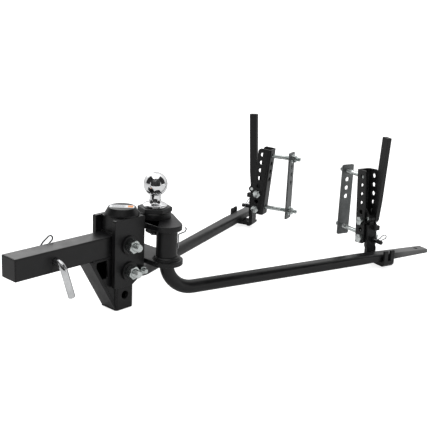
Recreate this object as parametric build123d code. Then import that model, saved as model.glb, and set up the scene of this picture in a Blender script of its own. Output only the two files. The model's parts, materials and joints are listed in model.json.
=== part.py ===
from build123d import *
import math
import os

# A round-bar weight distribution hitch: a drop shank with its pin, a head with a tow ball,
# two bent spring bars, and a snap-up lift bracket for each bar.
# Millimetres. +X points back along the hitch, +Y to the towing vehicle's right, +Z up.
# The origin is the middle of the shank's front end face.

# ---- driving dimensions -------------------------------------------------
SHANK_SIDE = 50.8          # a 2 inch receiver
SHANK_LENGTH = 273.0       # front end to the drop tube
SHANK_PIN_X = 101.6
PIN_RADIUS = 7.95          # a 5/8 inch hitch pin
PIN_HOLE_RADIUS = 8.4

DROP_DEPTH = 54.0          # along X
DROP_WIDTH = 57.0          # along Y
DROP_WALL = 9.0
DROP_TOP = 64.0
DROP_BOTTOM = -162.0
DROP_CORNER = 7.0
DROP_X = SHANK_LENGTH + DROP_DEPTH / 2
HOLE_PITCH = 31.75         # 1-1/4 inch drop holes
HOLE_TOP_Z = 0.5
HOLE_COUNT = 5
HEAD_BOLT_RADIUS = 9.525   # 3/4 inch bolts
HEAD_HOLE_RADIUS = 10.0

GUSSET_START_X = 196.5
GUSSET_PLATE = 6.0
WINDOW_X = 233.5
WINDOW_Z = -52.0
WINDOW_SIZE = (34.0, 44.0)

CHEEK_INNER = 29.0
CHEEK_THICK = 12.0
CHEEK_OUTER = CHEEK_INNER + CHEEK_THICK
CHEEK_FRONT = 257.5
CHEEK_REAR = 348.0
CHEEK_TOP = 64.0
CHEEK_BOTTOM = -100.0
DISC_RADIUS = 22.5
DISC_THICK = 6.0
HEAD_NUT_FLATS = 28.6
HEAD_NUT_THICK = 16.0
HEAD_BOLT_END = 79.0
TILT_BOLT_X = 337.0
TILT_BOLT_Z = -67.5
TILT_BOLT_RADIUS = 6.35

CAP_THICK = 18.5
CAP_RADIUS = 41.0
CAP_X = 312.0
CAP_RIM = 3.0              # straight edge below the sloping side
CAP_INSET = 8.5            # how far the side slopes in
LABEL_THICK = 0.4
LABEL_SIZE = (58.0, 22.0)
LABEL_TURN = -46.0

TRUNNION_X = 399.0
TRUNNION_Y = 63.8
TUBE_RADIUS = 25.5
TUBE_BORE = 19.5
TUBE_TOP = 26.0
TUBE_BOTTOM = -48.0
PLATFORM_THICK = 13.0
PLATFORM_TOP = TUBE_TOP + PLATFORM_THICK
PLATFORM_LOBE = 36.0
NOSE_X = 454.0
NOSE_RADIUS = 20.0
LOWER_THICK = 12.0
LOWER_LOBE = 40.0
NECK_START_X = SHANK_LENGTH + DROP_DEPTH + 1.0
NECK_HALF = CHEEK_INNER

BALL_X = 417.7
BALL_Z = 120.9
BALL_RADIUS = 29.37        # a 2-5/16 inch ball
BALL_STUD = 12.7
BASE_RING_RADIUS = 40.0
BASE_RING_TOP = 55.0
HEX_RING_FLATS = 74.0
HEX_RING_TOP = 66.0
BALL_NUT_FLATS = 38.0
LOCK_WASHER = 4.0

PIN_TIP_Y = 47.0
PIN_CLIP_Y = 36.0          # where the hairpin clip crosses the hitch pin
PIN_CLIP_ANGLE = 35.0

BAR_ANGLE = 17.2           # each bar's splay from the hitch's centreline
BAR_RADIUS = 17.0
BAR_Z = -130.0
BAR_BEND = 75.0
BAR_LEG_TOP = 22.0
BAR_ROUND_END = 150.0
BAR_FLAT_START = 600.0
BAR_TIP = 844.0
BAR_FLAT_WIDTH = 38.0
BAR_FLAT_THICK = 25.5
BAR_TIP_THICK = 12.0
BAR_HOLE_FROM_TIP = 30.0

# ---- bracket dimensions, in the bar's own frame: x along it, y outwards, z up ----
CHANNEL_FRONT = 655.0
CHANNEL_REAR = 702.0
CHANNEL_WALL = 5.0
CHANNEL_BACK = -89.5       # outer face of the web
CHANNEL_EDGE = -48.0       # free edge of the flanges
CHANNEL_BOTTOM = -107.0
CHANNEL_HEIGHT = 212.0
CHANNEL_BEND = 9.0
CHANNEL_LEAN = 4.6         # degrees, the top leans inwards
FLANGE_HOLE_Y = -63.5
FLANGE_HOLE_Z = -92.0
FLANGE_PITCH = 25.4
FLANGE_HOLES = 8
FLANGE_HOLE_RADIUS = 6.6
PIVOT_HOLE = 2             # counted from the lowest hole
BRACKET_BOLT_RADIUS = 6.35
BRACKET_BOLT_FLATS = 22.0

PLATE_X = 675.0
PLATE_WIDTH = 40.0
PLATE_FACE = -164.0        # face towards the channel
PLATE_THICK = 6.0
PLATE_TOP = 101.0
PLATE_BOTTOM = -110.0
FRAME_BOLT_TOP = 82.0
FRAME_BOLT_BOTTOM = -85.0
FRAME_BOLT_RADIUS = 6.35
FRAME_BOLT_END = -196.0
SPARE_HOLES = 3            # below the upper frame bolt, at the flange pitch

LEVER_X = 687.5            # middle of the lever bar
LEVER_WIDE = 13.6
LEVER_DEEP = 23.5
LEVER_TOP = 206.0
LEVER_TOP_Y = -27.5
LEVER_KNEE_Y = -39.0
LEVER_KNEE_Z = 20.0
LINK_Y = -45.0             # hinge between lever and hook
LINK_Z = -30.0
LINK_PIN_RADIUS = 5.0
SIDE_PLATE_THICK = 5.0
SIDE_PLATE_FRONT = 661.5

HOOK_FRONT = 667.3         # front of the hook's head, behind the side plate
HOOK_WIDE = 33.0
HOOK_UPPER_X = 661.5       # front edge of the shank inside the channel
HOOK_LOWER_X = 665.0       # and below it
HOOK_THICK = 12.0
HOOK_HEAD_WIDE = 12.8
SHOULDER_Z = -48.5
SADDLE_X = 690.0
SADDLE_WIDE = 36.0
SADDLE_BOTTOM = -155.0
SADDLE_FLOOR = -141.6
SADDLE_GAP_HALF = 21.0     # half of the room for the bar
TINE_THICK = 8.0
TINE_TOP = -108.0
TINE_SLOT = 10.0
KEEPER_X = 686.0
KEEPER_Z = -94.0
KEEPER_RADIUS = 6.0


# ---- helpers ------------------------------------------------------------
def slab_x(sketch, low, high):
    """A sketch drawn in (y, z), as a plate from x = low to x = high."""
    return extrude(Plane.YZ.offset(low) * sketch, high - low, dir=(1, 0, 0))


def slab_y(sketch, low, high):
    """A sketch drawn in (x, z), as a plate from y = low to y = high."""
    return extrude(Plane.XZ.offset(-low) * sketch, high - low, dir=(0, 1, 0))


def slab_z(sketch, low, high):
    """A sketch drawn in (x, y), as a plate from z = low to z = high."""
    return extrude(Plane.XY.offset(low) * sketch, high - low, dir=(0, 0, 1))


def block(x0, x1, y0, y1, z0, z1):
    return Pos((x0 + x1) / 2, (y0 + y1) / 2, (z0 + z1) / 2) * Box(x1 - x0, y1 - y0, z1 - z0)


def rod(axis, radius, low, high, a, b):
    """A cylinder along an axis from low to high; a and b place it on the other two, in order."""
    sketch = Pos(a, b) * Circle(radius)
    return {"x": slab_x, "y": slab_y, "z": slab_z}[axis](sketch, low, high)


def hexagon(axis, flats, low, high, a, b, turn=0.0):
    sketch = Pos(a, b) * Rot(0, 0, turn) * RegularPolygon(flats / math.sqrt(3), 6)
    return {"x": slab_x, "y": slab_y, "z": slab_z}[axis](sketch, low, high)


def hull_of(*circles):
    """The outline around some circles, each given as (x, y, radius)."""
    edges = [edge for x, y, r in circles for edge in (Pos(x, y) * Circle(r)).edges()]
    return make_hull(edges)


def wire(points, corner, radius):
    """A round wire along straight runs with rounded corners."""
    path = FilletPolyline(*points, radius=corner)
    return sweep(Plane(origin=path @ 0, z_dir=path % 0) * Circle(radius), path=path)


def group(*solids):
    """Several separate solids that share one node."""
    return Compound(children=[solid for piece in solids for solid in piece.solids()])


# ---- shank, drop and gusset --------------------------------------------
def make_shank_bar():
    half = SHANK_SIDE / 2
    bar = block(0, SHANK_LENGTH, -half, half, -half, half)
    bar = fillet(bar.edges().filter_by(Axis.X), 3.0)
    bar = chamfer(bar.faces().sort_by(Axis.X)[0].edges(), 1.5)
    return bar - rod("y", PIN_HOLE_RADIUS, -half - 1, half + 1, SHANK_PIN_X, 0)


def make_drop_tube():
    outer = Pos(DROP_X, 0) * RectangleRounded(DROP_DEPTH, DROP_WIDTH, DROP_CORNER)
    inner = Pos(DROP_X, 0) * RectangleRounded(DROP_DEPTH - 2 * DROP_WALL, DROP_WIDTH - 2 * DROP_WALL, 3.0)
    tube = slab_z(outer - inner, DROP_BOTTOM, DROP_TOP)
    for index in range(HOLE_COUNT):
        tube -= rod("y", HEAD_HOLE_RADIUS, -DROP_WIDTH, DROP_WIDTH, DROP_X, HOLE_TOP_Z - index * HOLE_PITCH)
    return tube


def gusset_outline(inset):
    top = -SHANK_SIDE / 2
    bottom = DROP_BOTTOM + 4
    slope = (SHANK_LENGTH - GUSSET_START_X) / (top - bottom)
    return Polygon(
        (GUSSET_START_X + inset * 1.7, top),
        (SHANK_LENGTH, top),
        (SHANK_LENGTH, bottom + inset / slope * 1.2),
        align=None,
    )


def make_gusset_side_plates():
    half = SHANK_SIDE / 2
    window = Pos(WINDOW_X, WINDOW_Z) * RectangleRounded(*WINDOW_SIZE, 4)
    outline = gusset_outline(GUSSET_PLATE) - window
    return group(
        slab_y(outline, -half, -half + GUSSET_PLATE),
        slab_y(outline, half - GUSSET_PLATE, half),
    )


def make_gusset_front_plate():
    half = SHANK_SIDE / 2
    return slab_y(gusset_outline(0) - gusset_outline(GUSSET_PLATE), -half, half)


# ---- head ---------------------------------------------------------------
def make_cheek(low, high):
    outline = Polygon(
        (CHEEK_FRONT, CHEEK_BOTTOM),
        (CHEEK_FRONT + 55, CHEEK_BOTTOM),
        (CHEEK_REAR, CHEEK_BOTTOM + 23),
        (CHEEK_REAR, CHEEK_TOP),
        (CHEEK_FRONT, CHEEK_TOP),
        align=None,
    )
    plate = slab_y(outline, low, high)
    plate = fillet(plate.edges().filter_by(Axis.Y), 4.0)
    for z in (HOLE_TOP_Z, HOLE_TOP_Z - 2 * HOLE_PITCH):
        plate -= rod("y", HEAD_HOLE_RADIUS, low - 1, high + 1, DROP_X, z)
    return plate - rod("y", TILT_BOLT_RADIUS + 0.4, low - 1, high + 1, TILT_BOLT_X, TILT_BOLT_Z)


def make_top_cap():
    rim_top = CHEEK_TOP + CAP_RIM
    rise = CAP_THICK - CAP_RIM
    slope = math.degrees(math.atan(CAP_INSET / rise))
    rim = rod("z", CAP_RADIUS, CHEEK_TOP, rim_top, CAP_X, 0)
    base = Plane.XY.offset(rim_top) * Pos(CAP_X, 0) * Circle(CAP_RADIUS)
    cap = rim + extrude(base, rise, taper=slope)
    return fillet(cap.faces().sort_by(Axis.Z)[-1].edges(), 1.5)


def make_cap_label():
    outline = Pos(CAP_X, 0) * Rot(0, 0, LABEL_TURN) * RectangleRounded(*LABEL_SIZE, 3)
    top = CHEEK_TOP + CAP_THICK
    return slab_z(outline, top, top + LABEL_THICK)


def neck():
    return Pos((NECK_START_X + TRUNNION_X) / 2, 0) * Rectangle(TRUNNION_X - NECK_START_X, 2 * NECK_HALF)


def make_ball_platform():
    outline = hull_of(
        (TRUNNION_X, TRUNNION_Y, PLATFORM_LOBE),
        (TRUNNION_X, -TRUNNION_Y, PLATFORM_LOBE),
        (NOSE_X, 0, NOSE_RADIUS),
    )
    plate = slab_z(outline + neck(), TUBE_TOP, PLATFORM_TOP)
    plate = chamfer(plate.faces().sort_by(Axis.Z)[-1].edges(), 1.2)
    return plate - rod("z", BALL_STUD + 0.4, TUBE_TOP - 1, PLATFORM_TOP + 1, BALL_X, 0)


def make_lower_plate():
    outline = hull_of((TRUNNION_X, TRUNNION_Y, LOWER_LOBE), (TRUNNION_X, -TRUNNION_Y, LOWER_LOBE))
    plate = slab_z(outline + neck(), TUBE_BOTTOM - LOWER_THICK, TUBE_BOTTOM)
    plate = chamfer(plate.faces().sort_by(Axis.Z)[-1].edges(), 1.2)
    low = TUBE_BOTTOM - LOWER_THICK - 1
    for side in (1, -1):
        plate -= rod("z", BAR_RADIUS + 1, low, TUBE_BOTTOM + 1, TRUNNION_X, side * TRUNNION_Y)
    return plate


def make_head_back_plate():
    return block(CHEEK_REAR - 14, CHEEK_REAR, -CHEEK_INNER, CHEEK_INNER, TUBE_BOTTOM, TUBE_TOP)


def make_head_upper_plate():
    plate = block(CHEEK_REAR - 12, CHEEK_REAR, -CHEEK_INNER, CHEEK_INNER, PLATFORM_TOP, CHEEK_TOP)
    return chamfer(plate.edges().group_by(Axis.Z)[-1].filter_by(Axis.Y), 1.5)


def ring(z_low, z_high, outer, inner):
    """The same ring around both trunnion axes."""
    profile = Circle(outer) - Circle(inner)
    return [slab_z(Pos(TRUNNION_X, side * TRUNNION_Y) * profile, z_low, z_high) for side in (1, -1)]


def clip_direction(side):
    return math.cos(math.radians(42)), side * math.sin(math.radians(42))


def make_trunnion_tubes():
    tubes = []
    for side, tube in zip((1, -1), ring(TUBE_BOTTOM, TUBE_TOP, TUBE_RADIUS, TUBE_BORE)):
        dx, dy = clip_direction(side)
        middle = (TUBE_RADIUS + TUBE_BORE) / 2
        hole = Cylinder(2.2, TUBE_RADIUS - TUBE_BORE + 4)
        turn = Rot(0, 0, math.degrees(math.atan2(dy, dx))) * Rot(0, 90, 0)
        tube -= Pos(TRUNNION_X + dx * middle, side * TRUNNION_Y + dy * middle, -22) * turn * hole
        tubes.append(tube)
    return group(*tubes)


def make_trunnion_collars():
    collars = ring(TUBE_BOTTOM, TUBE_BOTTOM + 8, TUBE_RADIUS + 5.5, TUBE_RADIUS)
    rims = [collar.faces().sort_by(Axis.Z)[-1].edges().sort_by(SortBy.LENGTH)[-1] for collar in collars]
    return group(*[chamfer(rim, 3) for rim in rims])


def make_trunnion_bushings():
    inner = BAR_RADIUS + 0.05
    upper = ring(TUBE_TOP - 26, TUBE_TOP - 1, TUBE_BORE, inner)
    lower = ring(TUBE_BOTTOM + 1, TUBE_BOTTOM + 22, TUBE_BORE, inner)
    return group(*upper, *lower)


def make_bar_clips():
    clips = []
    for side in (1, -1):
        dx, dy = clip_direction(side)
        route = [(22.5, -22), (27.6, -22), (27.6, 13), (43, 20), (46, 27), (42, 31)]
        points = [(TRUNNION_X + r * dx, side * TRUNNION_Y + r * dy, z) for r, z in route]
        clips.append(wire(points, 2.4, 1.5))
    return group(*clips)


def make_head_bolts():
    bolts = []
    for z in (HOLE_TOP_Z, HOLE_TOP_Z - 2 * HOLE_PITCH):
        seat = CHEEK_OUTER + DISC_THICK
        shaft = rod("y", HEAD_BOLT_RADIUS, -HEAD_BOLT_END, seat, DROP_X, z)
        shaft = chamfer(shaft.faces().sort_by(Axis.Y)[0].edges(), 1.5)
        bolts.append(shaft + hexagon("y", HEAD_NUT_FLATS, seat, seat + 12, DROP_X, z))
    return group(*bolts)


def make_head_bolt_discs():
    discs = []
    for z in (HOLE_TOP_Z, HOLE_TOP_Z - 2 * HOLE_PITCH):
        for low in (-CHEEK_OUTER - DISC_THICK, CHEEK_OUTER):
            disc = rod("y", DISC_RADIUS, low, low + DISC_THICK, DROP_X, z)
            discs.append(disc - rod("y", HEAD_HOLE_RADIUS, low - 1, low + DISC_THICK + 1, DROP_X, z))
    return group(*discs)


def make_head_bolt_nuts():
    nuts = []
    seat = -CHEEK_OUTER - DISC_THICK
    for z in (HOLE_TOP_Z, HOLE_TOP_Z - 2 * HOLE_PITCH):
        nut = hexagon("y", HEAD_NUT_FLATS, seat - HEAD_NUT_THICK, seat, DROP_X, z, turn=15)
        nuts.append(nut - rod("y", HEAD_BOLT_RADIUS, seat - HEAD_NUT_THICK - 1, seat + 1, DROP_X, z))
    return group(*nuts)


def make_tilt_bolt():
    shaft = rod("y", TILT_BOLT_RADIUS, -CHEEK_OUTER - 21, CHEEK_OUTER, TILT_BOLT_X, TILT_BOLT_Z)
    head = hexagon("y", 19, CHEEK_OUTER, CHEEK_OUTER + 8, TILT_BOLT_X, TILT_BOLT_Z)
    nut = hexagon("y", 19, -CHEEK_OUTER - 11, -CHEEK_OUTER, TILT_BOLT_X, TILT_BOLT_Z, turn=10)
    return group(shaft + head, nut - shaft)


# ---- ball ---------------------------------------------------------------
def make_hitch_ball():
    profile = make_face(Polyline(
        (0, -6), (BALL_STUD, -6), (BALL_STUD, HEX_RING_TOP), (30, HEX_RING_TOP), (30, 71),
        (26, 73.5), (14, 84), (14, 96), (0, 96), close=True,
    ))
    body = Pos(BALL_X, 0, 0) * revolve(Plane.XZ * profile, Axis.Z)
    ball = Pos(BALL_X, 0, BALL_Z) * Sphere(BALL_RADIUS)
    ball -= block(BALL_X - 20, BALL_X + 20, -20, 20, BALL_Z + BALL_RADIUS - 1.2, BALL_Z + BALL_RADIUS + 5)
    return body + ball


def make_ball_base_ring():
    base = rod("z", BASE_RING_RADIUS, PLATFORM_TOP, BASE_RING_TOP, BALL_X, 0)
    base = chamfer(base.faces().sort_by(Axis.Z)[-1].edges(), 2)
    return base - rod("z", BALL_STUD, PLATFORM_TOP - 1, BASE_RING_TOP + 1, BALL_X, 0)


def make_ball_hex_ring():
    base = hexagon("z", HEX_RING_FLATS, BASE_RING_TOP, HEX_RING_TOP, BALL_X, 0, turn=-48)
    base = chamfer(base.faces().sort_by(Axis.Z)[-1].edges(), 1.5)
    return base - rod("z", BALL_STUD, BASE_RING_TOP - 1, HEX_RING_TOP + 1, BALL_X, 0)


def make_ball_lock_washer():
    washer = rod("z", 21, TUBE_TOP - LOCK_WASHER, TUBE_TOP, BALL_X, 0)
    return washer - rod("z", BALL_STUD, 0, TUBE_TOP + 1, BALL_X, 0)


def make_ball_nut():
    nut = hexagon("z", BALL_NUT_FLATS, TUBE_TOP - 26, TUBE_TOP - LOCK_WASHER, BALL_X, 0, turn=20)
    return nut - rod("z", BALL_STUD, -10, TUBE_TOP, BALL_X, 0)


# ---- hitch pin ----------------------------------------------------------
def make_hitch_pin():
    points = [(SHANK_PIN_X, PIN_TIP_Y, 0), (SHANK_PIN_X, -50, 0), (SHANK_PIN_X + 17, -62, -78)]
    pin = wire(points, 18, PIN_RADIUS)
    pin = chamfer(pin.faces().sort_by(Axis.Y)[-1].edges(), 2)
    return pin - clip_frame() * Rot(0, 90, 0) * Cylinder(2.2, 40)


def clip_frame():
    return Pos(SHANK_PIN_X, PIN_CLIP_Y, 0) * Rot(0, -PIN_CLIP_ANGLE, 0)


def hairpin(pin_radius, wire_radius, length):
    """A hairpin clip in the XZ plane, straight leg along X through the origin."""
    over = pin_radius + wire_radius + 0.4
    loop = over + 4
    points = [
        (-pin_radius - 7, 0, 0), (length, 0, 0), (length, 0, loop), (length * 0.5, 0, loop),
        (pin_radius + 2, 0, over), (-pin_radius, 0, over), (-pin_radius - 8, 0, over + 5),
    ]
    path = FilletPolyline(*points, radius=[loop * 0.49, loop * 0.49, 6, 6, 6])
    return sweep(Plane(origin=path @ 0, z_dir=path % 0) * Circle(wire_radius), path=path)


def make_hitch_pin_clip():
    return clip_frame() * hairpin(PIN_RADIUS, 1.9, 50)


# ---- pieces of one side, in the bar's own frame -------------------------
def bar_section(x, width, thick, corner):
    plane = Plane(origin=(x, 0, BAR_Z), x_dir=(0, 1, 0), z_dir=(1, 0, 0))
    return plane * RectangleRounded(width, thick, corner)


def make_spring_bar():
    path = FilletPolyline((0, 0, BAR_LEG_TOP), (0, 0, BAR_Z), (BAR_ROUND_END, 0, BAR_Z), radius=BAR_BEND)
    bar = sweep(Plane.XY.offset(BAR_LEG_TOP) * Circle(BAR_RADIUS), path=path)
    bar = chamfer(bar.faces().sort_by(Axis.Z)[-1].edges(), 2.5)
    full = 2 * BAR_RADIUS
    start = bar_section(BAR_ROUND_END, full, full, BAR_RADIUS - 0.05)
    flat = bar_section(BAR_FLAT_START, BAR_FLAT_WIDTH, BAR_FLAT_THICK, 7)
    tip = bar_section(BAR_TIP, BAR_FLAT_WIDTH, BAR_TIP_THICK, 4)
    tail = loft([flat, tip], ruled=True)
    tail -= rod("z", 6.5, BAR_Z - 20, BAR_Z + 20, BAR_TIP - BAR_HOLE_FROM_TIP, 0)
    return bar + loft([start, flat], ruled=True) + tail


def lean(piece):
    """The piece leaned inwards about the channel's lowest flange holes."""
    there = Pos(0, FLANGE_HOLE_Y, FLANGE_HOLE_Z)
    return there * Rot(CHANNEL_LEAN, 0, 0) * there.inverse() * piece


def pivot_point():
    rise = PIVOT_HOLE * FLANGE_PITCH
    lean_angle = math.radians(CHANNEL_LEAN)
    return FLANGE_HOLE_Y - rise * math.sin(lean_angle), FLANGE_HOLE_Z + rise * math.cos(lean_angle)


def spare_heights():
    """Heights of the upper frame bolt and of the spare holes below it."""
    return [FRAME_BOLT_TOP - index * FLANGE_PITCH for index in range(SPARE_HOLES + 1)]


def make_bracket_channel():
    depth = CHANNEL_EDGE - CHANNEL_BACK
    width = CHANNEL_REAR - CHANNEL_FRONT
    middle = Pos((CHANNEL_FRONT + CHANNEL_REAR) / 2, CHANNEL_BACK + depth / 2)
    outer = middle * Rectangle(width, depth)
    hollow = middle * Pos(0, CHANNEL_WALL) * Rectangle(width - 2 * CHANNEL_WALL, depth)
    channel = slab_z(outer - hollow, CHANNEL_BOTTOM, CHANNEL_BOTTOM + CHANNEL_HEIGHT)
    inner_face = CHANNEL_BACK + CHANNEL_WALL
    creases = channel.edges().filter_by(Axis.Z).filter_by(lambda e: abs(e.center().Y - inner_face) < 0.1)
    channel = fillet(creases, CHANNEL_BEND - CHANNEL_WALL)
    back = channel.faces().sort_by(Axis.Y)[0]
    channel = fillet(back.edges().filter_by(Axis.Z), CHANNEL_BEND)
    corners = channel.edges().filter_by(Axis.X).filter_by(lambda e: e.center().Y > CHANNEL_EDGE - 1)
    channel = fillet(corners, 10)
    for index in range(FLANGE_HOLES):
        z = FLANGE_HOLE_Z + index * FLANGE_PITCH
        radius = BRACKET_BOLT_RADIUS + 0.05 if index == PIVOT_HOLE else FLANGE_HOLE_RADIUS
        channel -= rod("x", radius, CHANNEL_FRONT - 1, CHANNEL_REAR + 1, FLANGE_HOLE_Y, z)
    channel = lean(channel)
    for z in spare_heights() + [FRAME_BOLT_BOTTOM]:
        channel -= rod("y", FRAME_BOLT_RADIUS + 0.9, CHANNEL_BACK - 25, CHANNEL_BACK + 20, PLATE_X, z)
    return channel


def cross_bolt(y, z, radius, nut_flats):
    """A bolt along the bar's direction with its head on the channel's front and its nut behind."""
    shaft = rod("x", radius, CHANNEL_FRONT, CHANNEL_REAR + 17, y, z)
    head = hexagon("x", nut_flats, CHANNEL_FRONT - 8, CHANNEL_FRONT, y, z, turn=8)
    nut = hexagon("x", nut_flats, CHANNEL_REAR, CHANNEL_REAR + 11, y, z, turn=20)
    return group(shaft + head, nut - shaft)


def make_pivot_bolt():
    y, z = pivot_point()
    return cross_bolt(y, z, BRACKET_BOLT_RADIUS, BRACKET_BOLT_FLATS)


def make_stop_bolt():
    return cross_bolt(FLANGE_HOLE_Y, FLANGE_HOLE_Z, BRACKET_BOLT_RADIUS, BRACKET_BOLT_FLATS)


def web_inner_face(z):
    """y of the leaning web's inner face at a height."""
    return CHANNEL_BACK + CHANNEL_WALL - (z - FLANGE_HOLE_Z) * math.tan(math.radians(CHANNEL_LEAN))


def make_frame_bolts():
    bolts = []
    for z in (FRAME_BOLT_TOP, FRAME_BOLT_BOTTOM):
        seat = web_inner_face(z) + 1.3
        shaft = rod("y", FRAME_BOLT_RADIUS, FRAME_BOLT_END, seat, PLATE_X, z)
        shaft = chamfer(shaft.faces().sort_by(Axis.Y)[0].edges(), 1.2)
        head = rod("y", 11.5, seat, seat + 4, PLATE_X, z) + rod("y", 8, seat + 4, seat + 6.5, PLATE_X, z)
        bolts.append(shaft + head)
    return group(*bolts)


def make_clamp_plate():
    half = PLATE_WIDTH / 2
    back = PLATE_FACE - PLATE_THICK
    plate = block(PLATE_X - half, PLATE_X + half, back, PLATE_FACE, PLATE_BOTTOM, PLATE_TOP)
    plate = fillet(plate.edges().filter_by(Axis.Y), 4)
    for z in spare_heights() + [FRAME_BOLT_BOTTOM]:
        plate -= rod("y", FRAME_BOLT_RADIUS + 0.6, PLATE_FACE - 20, PLATE_FACE + 20, PLATE_X, z)
    return plate


def make_frame_nuts():
    pieces = []
    face = PLATE_FACE - PLATE_THICK
    bore = FRAME_BOLT_RADIUS + 0.35
    for z in (FRAME_BOLT_TOP, FRAME_BOLT_BOTTOM):
        washer = rod("y", 14, face - 2, face, PLATE_X, z)
        nut = hexagon("y", 19, face - 13, face - 2, PLATE_X, z, turn=12)
        pieces.append((washer + nut) - rod("y", bore, face - 20, face + 1, PLATE_X, z))
    return group(*pieces)


def make_lever_bar():
    y, z = pivot_point()
    half = LEVER_DEEP / 2
    arm = Polygon(
        (LINK_Y - half, LINK_Z),
        (LINK_Y + half, LINK_Z),
        (LEVER_KNEE_Y + half, LEVER_KNEE_Z),
        (LEVER_TOP_Y + half, LEVER_TOP - 2),
        (LEVER_TOP_Y - half, LEVER_TOP),
        (LEVER_KNEE_Y - half, LEVER_KNEE_Z),
        align=None,
    )
    outline = arm + hull_of((y, z, 12), (LINK_Y, LINK_Z, half))
    bar = slab_x(outline, LEVER_X - LEVER_WIDE / 2, LEVER_X + LEVER_WIDE / 2)
    bar = fillet(bar.edges().group_by(Axis.Z)[-1].filter_by(Axis.X), 3)
    bar -= rod("x", BRACKET_BOLT_RADIUS + 0.06, LEVER_X - 20, LEVER_X + 20, y, z)
    return bar - rod("x", LINK_PIN_RADIUS, LEVER_X - 20, LEVER_X + 20, LINK_Y, LINK_Z)


def make_lever_side_plate():
    y, z = pivot_point()
    outline = hull_of((y, z, 12), (y + 1, z + 28, 12), (LINK_Y, LINK_Z, 10))
    plate = slab_x(outline, SIDE_PLATE_FRONT, SIDE_PLATE_FRONT + SIDE_PLATE_THICK)
    plate -= rod("x", BRACKET_BOLT_RADIUS + 0.06, 600, 720, y, z)
    return plate - rod("x", LINK_PIN_RADIUS, 600, 720, LINK_Y, LINK_Z)


def make_link_pin():
    low = SIDE_PLATE_FRONT
    high = LEVER_X + LEVER_WIDE / 2
    return rod("x", LINK_PIN_RADIUS, low, high, LINK_Y, LINK_Z)


def hook_shank(inner_face, outer_face):
    """A flat bar that steps back along the hitch below the channel."""
    step_top = CHANNEL_BOTTOM - 3
    step_bottom = step_top - 9
    outline = Polygon(
        (HOOK_UPPER_X, SHOULDER_Z),
        (HOOK_UPPER_X + HOOK_WIDE, SHOULDER_Z),
        (HOOK_UPPER_X + HOOK_WIDE, step_top),
        (HOOK_LOWER_X + HOOK_WIDE, step_bottom),
        (HOOK_LOWER_X + HOOK_WIDE, SADDLE_FLOOR),
        (HOOK_LOWER_X, SADDLE_FLOOR),
        (HOOK_LOWER_X, step_bottom),
        (HOOK_UPPER_X, step_top),
        align=None,
    )
    return slab_y(outline, inner_face, outer_face)


def hook_head(inner_face, outer_face):
    """The eye that turns on the link pin, and the lug that stops the open lever."""
    back = HOOK_FRONT + HOOK_HEAD_WIDE
    eye = rod("x", 10, HOOK_FRONT, back, LINK_Y, LINK_Z)
    neck_plate = block(HOOK_FRONT, back, inner_face, outer_face, SHOULDER_Z, LINK_Z)
    front = HOOK_FRONT + 8
    lug = block(front, front + 16, outer_face, outer_face + 15, SHOULDER_Z - 14, SHOULDER_Z)
    lug = fillet(lug.edges().filter_by(Axis.X).group_by(Axis.Y)[-1], 3)
    return eye + neck_plate + lug


def hook_saddle(inner_face, outer_face):
    """The floor under the bar and the two tines beyond it."""
    outer = SADDLE_GAP_HALF + TINE_THICK
    floor_outline = Polygon(
        (inner_face, SADDLE_BOTTOM + 8), (inner_face + 8, SADDLE_BOTTOM), (outer - 8, SADDLE_BOTTOM),
        (outer, SADDLE_BOTTOM + 8), (outer, SADDLE_FLOOR), (inner_face, SADDLE_FLOOR), align=None,
    )
    left = HOOK_LOWER_X
    tine_front = SADDLE_X - SADDLE_WIDE / 2
    right = SADDLE_X + SADDLE_WIDE / 2
    floor = slab_x(floor_outline, left, right)
    floor -= block(left - 1, tine_front, outer_face + 6, outer + 1, -200, -100)
    tines = block(tine_front, right, SADDLE_GAP_HALF, outer, SADDLE_FLOOR, TINE_TOP)
    slot_front = SADDLE_X - TINE_SLOT / 2
    tines -= block(slot_front, slot_front + TINE_SLOT, SADDLE_GAP_HALF - 1, outer + 1, SADDLE_FLOOR + 4, 0)
    return floor + fillet(tines.edges().group_by(Axis.Z)[-1].filter_by(Axis.X), 3)


def make_lift_hook():
    faces = LINK_Y - HOOK_THICK / 2, LINK_Y + HOOK_THICK / 2
    hook = hook_head(*faces) + hook_shank(*faces) + hook_saddle(*faces)
    hook -= rod("x", LINK_PIN_RADIUS + 0.07, HOOK_FRONT - 20, HOOK_FRONT + 40, LINK_Y, LINK_Z)
    return hook - rod("y", KEEPER_RADIUS + 0.1, -80, 0, KEEPER_X, KEEPER_Z)


def make_keeper_pin():
    outer_face = LINK_Y + HOOK_THICK / 2
    pin = rod("y", KEEPER_RADIUS, outer_face - HOOK_THICK, -6, KEEPER_X, KEEPER_Z)
    pin += rod("y", 9, outer_face, outer_face + 4, KEEPER_X, KEEPER_Z)
    return pin - keeper_frame() * Rot(0, 90, 0) * Cylinder(1.7, 30)


def keeper_frame():
    return Pos(KEEPER_X, -19, KEEPER_Z) * Rot(0, -14, 0)


def make_keeper_clip():
    return keeper_frame() * hairpin(KEEPER_RADIUS, 1.4, 30)


SIDE_PIECES = {
    "spring_bar": make_spring_bar,
    "lift_hook": make_lift_hook,
    "keeper_pin": make_keeper_pin,
    "keeper_clip": make_keeper_clip,
    "lever_bar": make_lever_bar,
    "lever_side_plate": make_lever_side_plate,
    "link_pin": make_link_pin,
    "bracket_channel": make_bracket_channel,
    "pivot_bolt": make_pivot_bolt,
    "stop_bolt": make_stop_bolt,
    "frame_bolts": make_frame_bolts,
    "clamp_plate": make_clamp_plate,
    "frame_nuts": make_frame_nuts,
}

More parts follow.
